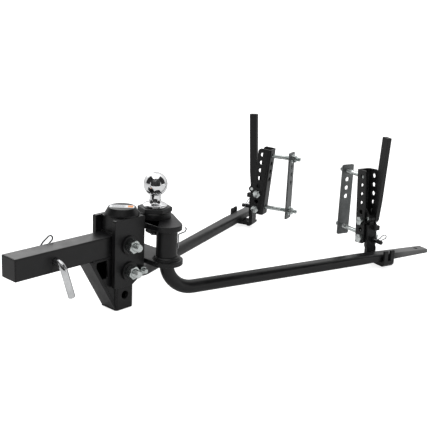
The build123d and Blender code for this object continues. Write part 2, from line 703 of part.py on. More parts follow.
HEAD_PIECES = {
    "shank_bar": make_shank_bar,
    "drop_tube": make_drop_tube,
    "gusset_side_plates": make_gusset_side_plates,
    "gusset_front_plate": make_gusset_front_plate,
    "left_cheek": lambda: make_cheek(-CHEEK_OUTER, -CHEEK_INNER),
    "right_cheek": lambda: make_cheek(CHEEK_INNER, CHEEK_OUTER),
    "top_cap": make_top_cap,
    "cap_label": make_cap_label,
    "ball_platform": make_ball_platform,
    "lower_plate": make_lower_plate,
    "head_back_plate": make_head_back_plate,
    "head_upper_plate": make_head_upper_plate,
    "trunnion_tubes": make_trunnion_tubes,
    "trunnion_collars": make_trunnion_collars,
    "trunnion_bushings": make_trunnion_bushings,
    "bar_clips": make_bar_clips,
    "head_bolts": make_head_bolts,
    "head_bolt_discs": make_head_bolt_discs,
    "head_bolt_nuts": make_head_bolt_nuts,
    "tilt_bolt": make_tilt_bolt,
    "hitch_ball": make_hitch_ball,
    "ball_base_ring": make_ball_base_ring,
    "ball_hex_ring": make_ball_hex_ring,
    "ball_lock_washer": make_ball_lock_washer,
    "ball_nut": make_ball_nut,
    "hitch_pin": make_hitch_pin,
    "hitch_pin_clip": make_hitch_pin_clip,
}

os.makedirs("parts", exist_ok=True)
parts = {name: make() for name, make in HEAD_PIECES.items()}
bar_place = Pos(TRUNNION_X, TRUNNION_Y, 0) * Rot(0, 0, BAR_ANGLE)
for name, make in SIDE_PIECES.items():
    right_piece = bar_place * make()
    parts["right_" + name] = right_piece
    parts["left_" + name] = mirror(right_piece, about=Plane.XZ)

for name, piece in parts.items():
    export_step(piece, os.path.join("parts", name + ".step"))
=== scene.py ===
import json
import math

import bmesh
import bpy
from mathutils import Matrix, Vector


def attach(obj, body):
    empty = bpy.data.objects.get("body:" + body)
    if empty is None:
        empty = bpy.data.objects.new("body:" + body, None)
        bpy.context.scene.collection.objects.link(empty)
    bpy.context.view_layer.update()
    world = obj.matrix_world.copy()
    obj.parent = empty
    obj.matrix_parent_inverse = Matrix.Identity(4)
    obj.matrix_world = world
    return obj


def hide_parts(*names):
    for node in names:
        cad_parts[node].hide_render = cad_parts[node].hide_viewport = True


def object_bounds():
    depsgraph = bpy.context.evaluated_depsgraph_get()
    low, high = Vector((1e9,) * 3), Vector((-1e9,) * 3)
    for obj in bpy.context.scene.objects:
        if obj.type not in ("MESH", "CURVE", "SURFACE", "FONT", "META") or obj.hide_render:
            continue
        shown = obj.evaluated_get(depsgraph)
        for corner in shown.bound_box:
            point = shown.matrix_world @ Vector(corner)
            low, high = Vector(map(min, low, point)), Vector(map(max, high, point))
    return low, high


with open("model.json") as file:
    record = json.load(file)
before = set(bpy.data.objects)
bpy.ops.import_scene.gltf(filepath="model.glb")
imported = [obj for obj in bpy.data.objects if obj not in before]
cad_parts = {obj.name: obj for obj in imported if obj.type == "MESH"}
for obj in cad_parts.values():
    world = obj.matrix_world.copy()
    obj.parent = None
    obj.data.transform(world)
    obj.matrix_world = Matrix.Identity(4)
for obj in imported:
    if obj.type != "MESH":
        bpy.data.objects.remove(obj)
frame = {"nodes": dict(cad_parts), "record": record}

cad_low, cad_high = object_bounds()

MM = 0.001

# ---- camera: the reference view ------------------------------------------------
CAMERA_PLACE = (-0.9109, -1.3983, 0.5912)
CAMERA_AZIMUTH = -47.79
CAMERA_ELEVATION = 15.62
CAMERA_ROLL = 2.62
CAMERA_LENS = 69.1

# ---- dimensions shared with the CAD source, in mm ---------------------------------
SHANK_HALF = 25.4
SHANK_LENGTH = 273.0
DROP_X = 300.0
HEAD_BOLT_HEIGHTS = (0.5, -63.0)
HEAD_BOLT_SEAT = 47.0
HEAD_BOLT_END = 79.0
HEAD_BOLT_RADIUS = 9.525
HEAD_NUT_FLATS = 28.6
HEAD_NUT_THICK = 16.0
HEAD_BOLT_HEAD = 12.0
CHEEK_REAR = 348.0
CHEEK_INNER = 29.0
CHEEK_OUTER = 41.0
TILT_BOLT = (337.0, -67.5)
TILT_BOLT_PAST = 21.0
SMALL_BOLT_RADIUS = 6.35
SMALL_BOLT_HEAD = 8.0
SMALL_NUT_FLATS = 19.0
SMALL_NUT_THICK = 11.0
CROSS_BOLT_FLATS = 22.0
CROSS_BOLT_PAST = 17.0
WASHER_RADIUS = 14.0
WASHER_THICK = 2.0
DOME_RADIUS = 11.5
TRUNNION = (399.0, 63.8)
TUBE_RADIUS = 25.5
COLLAR_RADIUS = 31.0
TUBE_TOP = 26.0
TUBE_BOTTOM = -48.0
PLATFORM_TOP = 39.0
BALL_X = 417.7
BALL_Z = 120.9
BALL_RADIUS = 29.37
BALL_FLAT = 149.07
STUD_RADIUS = 12.7
STUD_LENGTH = 72.0
SKIRT_FLOOR = 66.0
SKIRT_RADIUS = 30.0
BALL_NUT_FLATS = 38.0
BALL_NUT_TOP = 22.0
CAP_X = 312.0
LABEL_TOP = 82.9
LABEL_TURN = -46.0
PIN_X = 101.6
PIN_RADIUS = 7.95
PIN_ROUTE = ((PIN_X, 47.0, 0.0), (PIN_X, -50.0, 0.0), (PIN_X + 17.0, -62.0, -78.0))
PIN_BEND = 18.0
PIN_CLIP_Y = 36.0
PIN_CLIP_ANGLE = 35.0
PIN_CLIP_WIRE = 1.9
PIN_CLIP_LENGTH = 50.0
BAR_ANGLE = 17.2
CHANNEL_FRONT = 655.0
CHANNEL_REAR = 702.0
CHANNEL_LEAN = 4.6
WEB_INNER = -84.5
FLANGE_HOLE = (-63.5, -92.0)
PIVOT = (-67.574, -41.364)
PLATE_X = 675.0
PLATE_BACK = -170.0
FRAME_BOLT_HEIGHTS = (82.0, -85.0)
FRAME_BOLT_END = -196.0
KEEPER = (686.0, -19.0, -94.0)
KEEPER_RADIUS = 6.0
KEEPER_TILT = 14.0
KEEPER_WIRE = 1.4
KEEPER_CLIP_LENGTH = 30.0
BAR_CLIP_TURN = 42.0
BAR_CLIP_WIRE = 1.5
BAR_CLIP_ROUTE = (
    (22.5, 0.0, -22.0), (27.6, 0.0, -22.0), (27.6, 0.0, 13.0),
    (43.0, 0.0, 20.0), (46.0, 0.0, 27.0), (42.0, 0.0, 31.0),
)

record = frame["record"]
SLOT_OF = {row["node"]: row["material_slot"] for row in record["subparts"]}
BODY_OF = {node: body for body, nodes in record["behaviour"]["bodies"].items() for node in nodes}


# ---- materials ----------------------------------------------------------------------
def add_node(tree, kind, inputs=None, **settings):
    node = tree.nodes.new(kind)
    for name, value in settings.items():
        setattr(node, name, value)
    for name, value in (inputs or {}).items():
        node.inputs[name].default_value = value
    return node


def noise(tree, vector, scale, detail, stretch=(1, 1, 1)):
    """Noise over the object's own coordinates, in features per metre."""
    mapping = add_node(tree, "ShaderNodeMapping", {"Scale": stretch})
    tree.links.new(vector, mapping.inputs["Vector"])
    node = add_node(tree, "ShaderNodeTexNoise", {"Scale": scale, "Detail": detail, "Roughness": 0.6})
    tree.links.new(mapping.outputs["Vector"], node.inputs["Vector"])
    return node.outputs["Fac"]


def mixed_colour(tree, factor, dark, light):
    mix = add_node(tree, "ShaderNodeMix", data_type="RGBA")
    mix.inputs[6].default_value = (*dark, 1)
    mix.inputs[7].default_value = (*light, 1)
    tree.links.new(factor, mix.inputs[0])
    return mix.outputs[2]


def spread(tree, factor, low, high, from_low=0.3, from_high=0.7):
    node = add_node(tree, "ShaderNodeMapRange")
    node.inputs["From Min"].default_value = from_low
    node.inputs["From Max"].default_value = from_high
    node.inputs["To Min"].default_value = low
    node.inputs["To Max"].default_value = high
    tree.links.new(factor, node.inputs["Value"])
    return node.outputs["Result"]


BROAD_GRAIN = 22
ROUGH_GRAIN = 0.06
RELIEF_DEPTH = 0.0004
COAT_ROUGHNESS = 0.25
METAL_SPECULAR = 0.5
PAINT_SPECULAR = 0.32


def make_material(name, dark, light, rough, metallic, grain, bump, coat=0.0, stretch=(1, 1, 1)):
    """A finish with broad tonal variation, finer roughness variation and a fine relief."""
    material = bpy.data.materials.new(name)
    material.use_nodes = True
    tree = material.node_tree
    shader = tree.nodes["Principled BSDF"]
    shader.inputs["Metallic"].default_value = metallic
    shader.inputs["Coat Weight"].default_value = coat
    shader.inputs["Specular IOR Level"].default_value = METAL_SPECULAR if metallic else PAINT_SPECULAR
    shader.inputs["Coat Roughness"].default_value = COAT_ROUGHNESS
    place = add_node(tree, "ShaderNodeTexCoord").outputs["Object"]
    broad = noise(tree, place, BROAD_GRAIN, 4, stretch)
    fine = noise(tree, place, grain, 3, stretch)
    tone = mixed_colour(tree, spread(tree, broad, 0, 1), dark, light)
    tree.links.new(tone, shader.inputs["Base Color"])
    blend = add_node(tree, "ShaderNodeMath", operation="ADD")
    tree.links.new(spread(tree, broad, 0, rough[1] - rough[0]), blend.inputs[0])
    tree.links.new(spread(tree, fine, rough[0], rough[0] + ROUGH_GRAIN), blend.inputs[1])
    tree.links.new(blend.outputs[0], shader.inputs["Roughness"])
    relief = add_node(tree, "ShaderNodeBump", {"Strength": bump, "Distance": RELIEF_DEPTH})
    tree.links.new(fine, relief.inputs["Height"])
    tree.links.new(relief.outputs["Normal"], shader.inputs["Normal"])
    return material


POWDER_COAT = {
    "dark": (0.002, 0.002, 0.0022), "light": (0.006, 0.006, 0.0065),
    "metallic": 0, "grain": 900, "coat": 0.1,
}
PRINT = {"rough": (0.25, 0.3), "metallic": 0, "grain": 200, "bump": 0.01}
FINISHES = {
    "black_powder_coat": {**POWDER_COAT, "rough": (0.3, 0.42), "bump": 0.16},
    "chrome": {
        "dark": (0.86, 0.87, 0.88), "light": (0.93, 0.93, 0.94),
        "rough": (0.02, 0.05), "metallic": 1, "grain": 300, "bump": 0.005,
    },
    "zinc_plate": {
        "dark": (0.46, 0.51, 0.5), "light": (0.8, 0.83, 0.82),
        "rough": (0.16, 0.28), "metallic": 1, "grain": 1400, "bump": 0.1,
    },
    "bright_zinc": {
        "dark": (0.55, 0.56, 0.57), "light": (0.84, 0.85, 0.86),
        "rough": (0.12, 0.22), "metallic": 1, "grain": 1200, "bump": 0.08,
    },
    "galvanised": {
        "dark": (0.11, 0.115, 0.115), "light": (0.2, 0.21, 0.21),
        "rough": (0.3, 0.44), "metallic": 1, "grain": 500, "bump": 0.14,
    },
    "spring_wire": {
        "dark": (0.16, 0.165, 0.17), "light": (0.42, 0.43, 0.44),
        "rough": (0.22, 0.34), "metallic": 1, "grain": 1600, "bump": 0.08, "stretch": (1, 1, 0.2),
    },
    "bushing_nylon": {
        "dark": (0.05, 0.05, 0.05), "light": (0.09, 0.09, 0.09),
        "rough": (0.4, 0.5), "metallic": 0, "grain": 700, "bump": 0.1,
    },
    "label_film": {"dark": (0.6, 0.61, 0.62), "light": (0.72, 0.73, 0.74), **PRINT},
}
MATERIALS = {name: make_material(name, **finish) for name, finish in FINISHES.items()}
PRINT_ORANGE = make_material("print_orange", (0.62, 0.2, 0.03), (0.72, 0.26, 0.05), **PRINT)
PRINT_DARK = make_material("print_dark", (0.02, 0.02, 0.025), (0.05, 0.05, 0.06), **PRINT)
# Painted highlight: a lighter grey mixed into the coat towards each spring bar's tail, standing in for
# the reflection on its top face.
TAIL_HIGHLIGHT_GREY = (0.1, 0.1, 0.1, 1)
TAIL_HIGHLIGHT_SHARE = 0.85
TAIL_HIGHLIGHT_SPAN = (1060.0, 1120.0)     # mm along the hitch, where the painted highlight starts and is full


def add_painted_tail_highlight(material):
    """Lightens the coat towards a spring bar's tail: a painted highlight standing in for the bright
    reflection on the tail's top face.
    """
    tree = material.node_tree
    shader = tree.nodes["Principled BSDF"]
    coat = shader.inputs["Base Color"].links[0].from_socket
    place = add_node(tree, "ShaderNodeSeparateXYZ")
    tree.links.new(add_node(tree, "ShaderNodeTexCoord").outputs["Object"], place.inputs["Vector"])
    share = spread(tree, place.outputs["X"], 0.0, TAIL_HIGHLIGHT_SHARE, TAIL_HIGHLIGHT_SPAN[0] * MM, TAIL_HIGHLIGHT_SPAN[1] * MM)
    mix = add_node(tree, "ShaderNodeMix", data_type="RGBA")
    mix.inputs[7].default_value = TAIL_HIGHLIGHT_GREY
    tree.links.new(share, mix.inputs[0])
    tree.links.new(coat, mix.inputs[6])
    tree.links.new(mix.outputs[2], shader.inputs["Base Color"])
    return material


# The spring bars' coat, with the painted highlight on the tail.
BAR_COAT_PAINTED_HIGHLIGHT = add_painted_tail_highlight(make_material("bar_powder_coat_painted_highlight", **POWDER_COAT, rough=(0.26, 0.38), bump=0.12))


# ---- mesh shapes: (points, faces), in mm ---------------------------------------------
def placed(shape, matrix):
    return [matrix @ Vector(p) for p in shape[0]], shape[1]


def joined(shapes):
    points, faces = [], []
    for shape_points, shape_faces in shapes:
        start = len(points)
        points += [Vector(p) for p in shape_points]
        faces += [[start + i for i in face] for face in shape_faces]
    return points, faces


def grid(rows):
    """A tube of quads through rows of equal length, each row closed on itself."""
    count = len(rows[0])
    faces = []
    for low in range(len(rows) - 1):
        row, above = low * count, (low + 1) * count
        for i in range(count):
            j = (i + 1) % count
            faces.append([row + i, row + j, above + j, above + i])
    return [p for row in rows for p in row], faces


def around(radius_at, z_at, steps):
    """One ring about the Z axis; radius and height are functions of the angle."""
    ring = []
    for i in range(steps):
        angle = 2 * math.pi * i / steps
        radius = radius_at(angle)
        ring.append((radius * math.cos(angle), radius * math.sin(angle), z_at(radius)))
    return ring


def level_rings(profile, steps):
    """Flat round rings at the (radius, height) points of a profile."""
    return [around(lambda a, r=r: r, lambda q, z=z: z, steps) for r, z in profile]


def lathe(profile, steps=64):
    return grid(level_rings(profile, steps))


CHAMFER_SLOPE = math.tan(math.radians(30))
FLAT_CIRCLE_SHARE = 0.95
BORE_CHAMFER = 0.9
HEX_STEPS = 72


def hex_prism(flats, low, high, bore=0.0, low_cut=True, high_cut=True):
    """A hexagonal nut or head with turned corners; bore 0 leaves it solid."""
    apothem = flats / 2
    flat_circle = apothem * FLAT_CIRCLE_SHARE

    def edge(angle):
        return apothem / math.cos((angle % (math.pi / 3)) - math.pi / 6)

    def low_z(radius):
        return low + (radius - flat_circle) * CHAMFER_SLOPE * low_cut

    def high_z(radius):
        return high - (radius - flat_circle) * CHAMFER_SLOPE * high_cut

    lip = bore + BORE_CHAMFER if bore else 0.0
    inner = [(bore, low + BORE_CHAMFER), (lip, low)] if bore else [(0.0, low)]
    outer = [(lip, high), (bore, high - BORE_CHAMFER)] if bore else [(0.0, high)]
    rows = level_rings(inner + [(flat_circle, low)], HEX_STEPS)
    rows.append(around(edge, low_z, HEX_STEPS))
    rows.append(around(edge, high_z, HEX_STEPS))
    rows += level_rings([(flat_circle, high)] + outer, HEX_STEPS)
    if bore:
        rows.append(rows[0])
    return grid(rows)


THREAD_STEPS = 40
RINGS_PER_TURN = 8
THREAD_DEPTH = 0.55        # of the pitch
CREST_FLAT = 0.25
POINT_SLOPE = 0.8


def thread(radius, low, high, pitch):
    """A helical thread along Z with a turned point at the high end."""
    depth = pitch * THREAD_DEPTH
    count = int((high - low) / pitch * RINGS_PER_TURN)
    rows = [[(0.0, 0.0, low)] * THREAD_STEPS]
    for k in range(count + 1):
        z = low + (high - low) * k / count
        fade = min(1.0, (z - low) / pitch)
        limit = radius - max(0.0, pitch - (high - z)) * POINT_SLOPE
        ring = []
        for i in range(THREAD_STEPS):
            turn = (z / pitch - i / THREAD_STEPS) % 1.0
            cut = max(0.0, abs(2 * turn - 1) * (1 + CREST_FLAT) - CREST_FLAT)
            r = min(limit, radius - depth * fade * cut)
            angle = 2 * math.pi * i / THREAD_STEPS
            ring.append((r * math.cos(angle), r * math.sin(angle), z))
        rows.append(ring)
    rows.append([(0.0, 0.0, high)] * THREAD_STEPS)
    return grid(rows)


STEM_STEPS = 48


def stem(radius, low, length, threaded, pitch):
    """A plain shank and its threaded end."""
    start = length - threaded
    shank = lathe([(0, low), (radius, low), (radius, start), (0, start)], STEM_STEPS)
    return [shank, thread(radius, start, length, pitch)]


def aim(place, direction, turn=0.0):
    """A frame at a place whose Z axis points in a direction."""
    swing = Vector(direction).to_track_quat("Z", "Y").to_matrix().to_4x4()
    return Matrix.Translation(place) @ swing @ Matrix.Rotation(math.radians(turn), 4, "Z")


LONGEST_CUT = 0.48         # of a run, taken by the arc at one end


def rounded_path(points, radius, step=7.0):
    """The polyline with each corner turned into an arc, as closely spaced points."""
    points = [Vector(p) for p in points]
    path = [points[0]]
    for before, corner, after in zip(points, points[1:], points[2:]):
        into = (before - corner).normalized()
        out = (after - corner).normalized()
        half = into.angle(out) / 2
        shorter = min((before - corner).length, (after - corner).length)
        cut = min(radius / math.tan(half), shorter * LONGEST_CUT)
        bend = cut * math.tan(half)
        centre = corner + (into + out).normalized() * (bend / math.sin(half))
        start = corner + into * cut - centre
        end = corner + out * cut - centre
        turn = start.angle(end)
        count = max(2, int(math.degrees(turn) / step))
        for k in range(count + 1):
            share = k / count
            spun = start * math.sin((1 - share) * turn) + end * math.sin(share * turn)
            path.append(centre + spun / math.sin(turn))
    path.append(points[-1])
    return path


CAP_SHARES = (0.0, 0.08, 0.3, 0.6, 1.0)


def ring_about(centre, side, other, radius, steps):
    """A ring of points in the plane of two unit vectors."""
    turns = [2 * math.pi * i / steps for i in range(steps)]
    return [centre + (side * math.cos(a) + other * math.sin(a)) * radius for a in turns]


def swept(path, radius, cap, steps=20):
    """A round wire along a path, its ends rounded over the length cap."""
    marks = [Vector(p) for p in path]
    first = (marks[1] - marks[0]).normalized()
    last = (marks[-1] - marks[-2]).normalized()
    head = [marks[0] + first * cap * s for s in CAP_SHARES]
    tail = [marks[-1] - last * cap * s for s in reversed(CAP_SHARES)]
    radii = [radius * math.sqrt(1 - (1 - s) ** 2) for s in CAP_SHARES]
    centres = head + marks[1:-1] + tail
    sizes = radii + [radius] * len(marks[1:-1]) + radii[::-1]
    side = first.orthogonal().normalized()
    rows = []
    for k, centre in enumerate(centres):
        low, high = centres[max(0, k - 1)], centres[min(len(centres) - 1, k + 1)]
        tangent = (high - low).normalized()
        side = (side - tangent * side.dot(tangent)).normalized()
        rows.append(ring_about(centre, side, tangent.cross(side), sizes[k], steps))
    return grid(rows)


BEAD_STEPS = 12
BEAD_END = 0.3
RIPPLE_RISE = 0.16
HAND_WAVES = ((0.08, 0.31), (0.05, 0.83))     # size and rate of the welder's slow wavering


def bead(points, radius, closed=False, ripple=2.6):
    """A weld bead with the overlapping ripples of the passes."""
    marks = [Vector(p) for p in points]
    if closed:
        marks.append(marks[0])
    fine = []
    for low, high in zip(marks, marks[1:]):
        count = max(1, int((high - low).length / (ripple / 4)))
        fine += [low.lerp(high, k / count) for k in range(count)]
    fine.append(marks[-1])
    side = (fine[1] - fine[0]).orthogonal().normalized()
    rows = []
    run = 0.0
    for k, centre in enumerate(fine):
        low, high = fine[max(0, k - 1)], fine[min(len(fine) - 1, k + 1)]
        tangent = (high - low).normalized()
        side = (side - tangent * side.dot(tangent)).normalized()
        wave = 1 + RIPPLE_RISE * ((run / ripple) % 1.0)
        for share, rate in HAND_WAVES:
            wave += share * math.sin(run * rate)
        size = radius * wave * (1 if closed or 0 < k < len(fine) - 1 else BEAD_END)
        rows.append(ring_about(centre, side, tangent.cross(side), size, BEAD_STEPS))
        if k + 1 < len(fine):
            run += (fine[k + 1] - centre).length
    return grid(rows)


def circle_points(x, y, z, radius, count=72):
    turns = [2 * math.pi * i / count for i in range(count)]
    return [(x + radius * math.cos(a), y + radius * math.sin(a), z) for a in turns]


# ---- putting pieces into the scene -----------------------------------------------------
def smooth(mesh, angle):
    mesh.shade_smooth()
    mesh.set_sharp_from_angle(angle=math.radians(angle))


def add_piece(name, shapes, body, slot_name, matrix=None, material=None, sharp=35):
    """Joins shapes into one closed, outward-facing piece that rides on a CAD body."""
    points, faces = joined(shapes)
    matrix = matrix or Matrix.Identity(4)
    mesh = bpy.data.meshes.new(name)
    mesh.from_pydata([(matrix @ p) * MM for p in points], [], faces)
    work = bmesh.new()
    work.from_mesh(mesh)
    bmesh.ops.remove_doubles(work, verts=work.verts, dist=1e-7)
    bmesh.ops.holes_fill(work, edges=work.edges, sides=0)
    bmesh.ops.recalc_face_normals(work, faces=work.faces)
    work.to_mesh(mesh)
    work.free()
    mesh.materials.append(material or MATERIALS[slot_name])
    smooth(mesh, sharp)
    piece = bpy.data.objects.new(name, mesh)
    bpy.context.scene.collection.objects.link(piece)
    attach(piece, body)
    return piece


def stand_for(node, shapes, matrix=None, sharp=35):
    piece = add_piece(node + "_detail", shapes, BODY_OF[node], SLOT_OF[node], matrix, None, sharp)
    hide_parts(node)


WELD_DISTANCE = 2e-6
FLAT_ANGLE = math.radians(0.4)
EDGE_ANGLE = math.radians(35)


def refine(node, width, segments=3):
    """The CAD piece with clean faces, smooth curves and its sharp edges broken."""
    work = bmesh.new()
    work.from_mesh(frame["nodes"][node].data)
    bmesh.ops.remove_doubles(work, verts=work.verts, dist=WELD_DISTANCE)
    bmesh.ops.dissolve_limit(work, angle_limit=FLAT_ANGLE, verts=work.verts, edges=work.edges)
    mesh = bpy.data.meshes.new(node + "_refined")
    work.to_mesh(mesh)
    work.free()
    if "custom_normal" in mesh.attributes:
        mesh.attributes.remove(mesh.attributes["custom_normal"])
    mesh.materials.clear()
    mesh.materials.append(BAR_COAT_PAINTED_HIGHLIGHT if node.endswith("spring_bar") else MATERIALS[SLOT_OF[node]])
    smooth(mesh, 30)
    piece = bpy.data.objects.new(node + "_refined", mesh)
    bpy.context.scene.collection.objects.link(piece)
    if width:
        bevel = piece.modifiers.new("broken_edges", "BEVEL")
        bevel.width = width * MM
        bevel.segments = segments
        bevel.limit_method = "ANGLE"
        bevel.angle_limit = EDGE_ANGLE
        bevel.use_clamp_overlap = False
        bevel.harden_normals = True
    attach(piece, BODY_OF[node])
    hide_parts(node)


# ---- head ------------------------------------------------------------------------------
STUD_PITCH = 3.6
HEAD_BOLT_PITCH = 2.54
SMALL_PITCH = 1.95
BALL_STEPS = 48
NECK_STEPS = 9
NECK_FOOT = (26.0, 73.0)   # radius and height where the neck's curve starts
NECK_RISE = 13.0
NECK_RADIUS = 14.0
NECK_TOP = 92.0
NECK_IN_BALL = 14.6        # radius on the ball where the neck meets it


def make_ball():
    """The ball, its curved neck and skirt as one turned shape, and the threaded stud."""
    foot, foot_z = NECK_FOOT
    profile = [
        (0, SKIRT_FLOOR), (SKIRT_RADIUS - 1.2, SKIRT_FLOOR), (SKIRT_RADIUS, SKIRT_FLOOR + 1),
        (SKIRT_RADIUS, foot_z - 2.8), (SKIRT_RADIUS - 0.8, foot_z - 1.8), NECK_FOOT,
    ]
    for k in range(1, NECK_STEPS):
        angle = math.radians(90 * k / NECK_STEPS)
        inwards = (foot - NECK_RADIUS) * math.sin(angle)
        profile.append((foot - inwards, foot_z + NECK_RISE * (1 - math.cos(angle))))
    profile.append((NECK_RADIUS, NECK_TOP))
    start = math.asin(NECK_IN_BALL / BALL_RADIUS)
    flat = math.sqrt(BALL_RADIUS ** 2 - (BALL_FLAT - BALL_Z) ** 2)
    end = math.pi - math.asin(flat / BALL_RADIUS)
    for k in range(BALL_STEPS + 1):
        angle = start + (end - start) * k / BALL_STEPS
        profile.append((BALL_RADIUS * math.sin(angle), BALL_Z - BALL_RADIUS * math.cos(angle)))
    profile.append((flat - 0.5, BALL_FLAT))
    profile.append((0, BALL_FLAT))
    down = aim((0, 0, SKIRT_FLOOR), (0, 0, -1))
    stud = [placed(shape, down) for shape in stem(STUD_RADIUS, 0, STUD_LENGTH, 34, STUD_PITCH)]
    stand_for("hitch_ball", [lathe(profile, 128)] + stud, Matrix.Translation((BALL_X, 0, 0)), 40)
    nut = hex_prism(BALL_NUT_FLATS, 0, BALL_NUT_TOP, STUD_RADIUS)
    stand_for("ball_nut", [placed(nut, aim((BALL_X, 0, 0), (0, 0, 1), 20))])


def hex_bolt(flats, head, radius, length, threaded, pitch):
    """A bolt along Z whose head sits below the origin."""
    return [hex_prism(flats, -head, 0, 0.0, True, False)] + stem(radius, 0, length, threaded, pitch)


def make_head_fasteners():
    bolts, nuts = [], []
    length = HEAD_BOLT_SEAT + HEAD_BOLT_END
    for z in HEAD_BOLT_HEIGHTS:
        place = aim((DROP_X, HEAD_BOLT_SEAT, z), (0, -1, 0))
        shapes = hex_bolt(HEAD_NUT_FLATS, HEAD_BOLT_HEAD, HEAD_BOLT_RADIUS, length, 38, HEAD_BOLT_PITCH)
        bolts += [placed(shape, place) for shape in shapes]
        nut = hex_prism(HEAD_NUT_FLATS, 0, HEAD_NUT_THICK, HEAD_BOLT_RADIUS)
        nuts.append(placed(nut, aim((DROP_X, -HEAD_BOLT_SEAT, z), (0, -1, 0), 15)))
    stand_for("head_bolts", bolts)
    stand_for("head_bolt_nuts", nuts)
    x, z = TILT_BOLT
    span = 2 * CHEEK_OUTER
    shapes = hex_bolt(
        SMALL_NUT_FLATS, SMALL_BOLT_HEAD, SMALL_BOLT_RADIUS, span + TILT_BOLT_PAST, 28, SMALL_PITCH
    )
    nut = hex_prism(SMALL_NUT_FLATS, 0, SMALL_NUT_THICK, SMALL_BOLT_RADIUS)
    shapes.append(placed(nut, aim((0, 0, span), (0, 0, 1), 10)))
    stand_for("tilt_bolt", shapes, aim((x, CHEEK_OUTER, z), (0, -1, 0)))


GUSSET_FOOT = -148.0
GUSSET_START = 204.0
THIN_BEAD = 2.2
PLATE_BEAD = 2.4
TUBE_BEAD = 2.6
SHANK_BEAD = 3.0


def make_welds():
    seams = []
    for side in (1, -1):
        x, y = TRUNNION[0], side * TRUNNION[1]
        seams.append(bead(circle_points(x, y, TUBE_TOP, TUBE_RADIUS), TUBE_BEAD, True))
        seams.append(bead(circle_points(x, y, TUBE_BOTTOM, COLLAR_RADIUS), THIN_BEAD, True))
        edge = side * SHANK_HALF
        meeting = (SHANK_LENGTH, edge, -SHANK_HALF)
        seams.append(bead([meeting, (SHANK_LENGTH, edge, GUSSET_FOOT)], PLATE_BEAD))
        seams.append(bead([(GUSSET_START, edge, -SHANK_HALF), meeting], THIN_BEAD))
    corner = SHANK_HALF - 1
    seams.append(bead([
        (SHANK_LENGTH, -SHANK_HALF, -SHANK_HALF), (SHANK_LENGTH, -SHANK_HALF, corner),
        (SHANK_LENGTH, -corner, SHANK_HALF), (SHANK_LENGTH, corner, SHANK_HALF),
        (SHANK_LENGTH, SHANK_HALF, corner), (SHANK_LENGTH, SHANK_HALF, -SHANK_HALF),
    ], SHANK_BEAD))
    for z in (PLATFORM_TOP, TUBE_TOP, TUBE_BOTTOM):
        seams.append(bead([(CHEEK_REAR, -CHEEK_INNER, z), (CHEEK_REAR, CHEEK_INNER, z)], PLATE_BEAD))
    add_piece("head_welds", seams, "head", "black_powder_coat", sharp=60)


def slab(x, y, wide, deep, low, high, corner=0.8, steps=6):
    """A thin printed patch with rounded corners."""
    outline = []
    for quarter, (sx, sy) in enumerate(((1, 1), (-1, 1), (-1, -1), (1, -1))):
        for k in range(steps + 1):
            angle = math.radians(90 * (quarter + k / steps))
            outline.append((
                x + sx * (wide / 2 - corner) + corner * math.cos(angle),
                y + sy * (deep / 2 - corner) + corner * math.sin(angle),
            ))
    rows = [[(px, py, z) for px, py in outline] for z in (low, high)]
    return grid(rows)


PATCH_PLACE = (20.0, 0.0)
PATCH_SIZE = (12.0, 16.0)
BAR_COUNT = 4
BAR_PITCH = 4.0
BAR_LENGTH = 34.0
BAR_SHORTER = 5.0
BAR_DEEP = 1.4


def make_label_print():
    """A plain colour patch and four plain bars; the label has no lettering."""
    place = Matrix.Translation((CAP_X, 0, 0)) @ Matrix.Rotation(math.radians(LABEL_TURN), 4, "Z")
    low, high = LABEL_TOP - 0.1, LABEL_TOP + 0.06
    patch = slab(*PATCH_PLACE, *PATCH_SIZE, low, high)
    add_piece("label_patch", [patch], "head", "label_film", place, PRINT_ORANGE)
    bars = []
    for k in range(BAR_COUNT):
        wide = BAR_LENGTH - BAR_SHORTER * (k % 2)
        bars.append(slab(-8, 6 - BAR_PITCH * k, wide, BAR_DEEP, low, high, 0.4))
    add_piece("label_bars", bars, "head", "label_film", place, PRINT_DARK)


# ---- hitch pin and wires ---------------------------------------------------------------------
def hairpin_path(pin_radius, wire_radius, length):
    """A hairpin clip's centreline: one leg through the pin, the other bent over it."""
    over = pin_radius + wire_radius + 0.4
    loop = over + 4
    return rounded_path([
        (-pin_radius - 7, 0, 0), (length, 0, 0), (length, 0, loop), (length * 0.5, 0, loop),
        (pin_radius + 2, 0, over), (-pin_radius, 0, over), (-pin_radius - 8, 0, over + 5),
    ], loop * 0.49)


def make_bar_clips():
    """The spring wire that keeps each bar up in its tube, hooked over the platform's edge."""
    clips = []
    for side in (1, -1):
        turn = Matrix.Rotation(math.radians(side * BAR_CLIP_TURN), 4, "Z")
        place = Matrix.Translation((TRUNNION[0], side * TRUNNION[1], 0)) @ turn
        clips.append(placed(swept(rounded_path(BAR_CLIP_ROUTE, 2.4), BAR_CLIP_WIRE, 1.2), place))
    stand_for("bar_clips", clips, None, 60)


def make_pin_and_clip():
    route = rounded_path(PIN_ROUTE, PIN_BEND, 4)
    stand_for("hitch_pin", [swept(route, PIN_RADIUS, 3.0, 40)], None, 50)
    turn = Matrix.Rotation(math.radians(-PIN_CLIP_ANGLE), 4, "Y")
    clip = swept(hairpin_path(PIN_RADIUS, PIN_CLIP_WIRE, PIN_CLIP_LENGTH), PIN_CLIP_WIRE, 1.5)
    stand_for("hitch_pin_clip", [clip], Matrix.Translation((PIN_X, PIN_CLIP_Y, 0)) @ turn, 60)


# ---- one side's bracket ---------------------------------------------------------------------
def side_frame(side):
    """From the bar's own frame (along, outwards, up) to the hitch's."""
    place = Matrix.Translation((*TRUNNION, 0)) @ Matrix.Rotation(math.radians(BAR_ANGLE), 4, "Z")
    if side == "left":
        return Matrix.Diagonal((1, -1, 1, 1)) @ place
    return place


